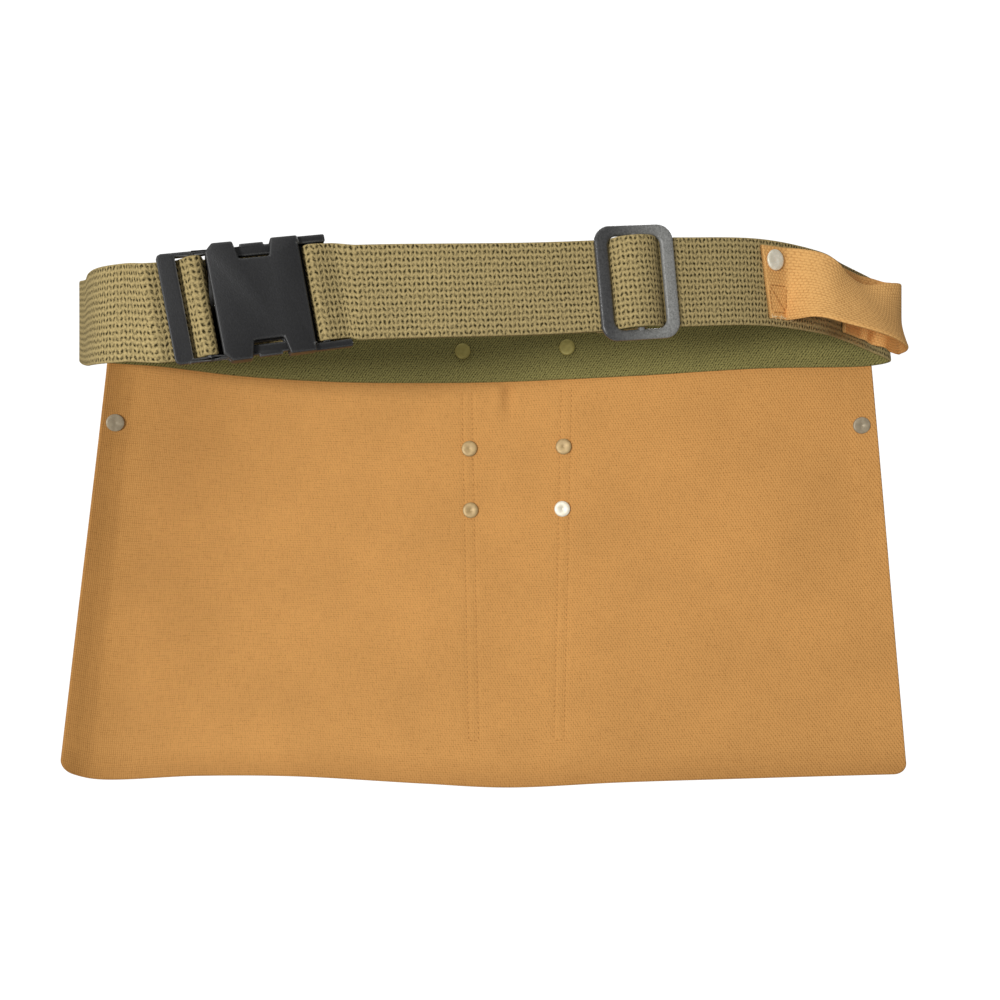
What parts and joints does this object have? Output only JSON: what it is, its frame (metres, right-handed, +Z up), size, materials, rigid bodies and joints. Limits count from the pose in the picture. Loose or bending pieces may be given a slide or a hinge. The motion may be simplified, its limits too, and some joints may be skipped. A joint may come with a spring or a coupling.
{
  "type": "nail apron",
  "caption": "Canvas nail apron with large and small pockets, riveted to a webbing belt with side-release buckle, slider and tool loop",
  "frame": {"origin": "centre of the waist loop at the middle of the belt's height", "axes": "+Z up as worn, +Y to the apron at the wearer's front, -Y to the buckle at the wearer's back, +X to the side of the tool loop"},
  "size_m": [0.6187, 0.3218, 0.3763],
  "materials": {
    "canvas": "tan cotton duck",
    "loop_canvas": "tan coarse cotton duck",
    "webbing": "olive woven webbing",
    "buckle": "satin black",
    "slider": "glossy dark grey",
    "rivet": "antique, worn bright"
  },
  "bodies": {
    "root": {"belt": "webbing", "back_panel": "canvas", "pouch_left": "canvas", "pouch_right": "canvas", "small_pocket_left": "canvas", "small_pocket_right": "canvas", "centre_pocket": "canvas", "tool_loop": "loop_canvas", "buckle_female": "buckle", "buckle_male": "buckle", "slider": "slider", "rivet_belt_left": "rivet", "rivet_belt_right": "rivet", "rivet_upper_left": "rivet", "rivet_upper_right": "rivet", "rivet_lower_left": "rivet", "rivet_lower_right": "rivet", "rivet_edge_left": "rivet", "rivet_edge_right": "rivet", "rivet_tool_loop": "rivet"}
  },
  "joints": []
}
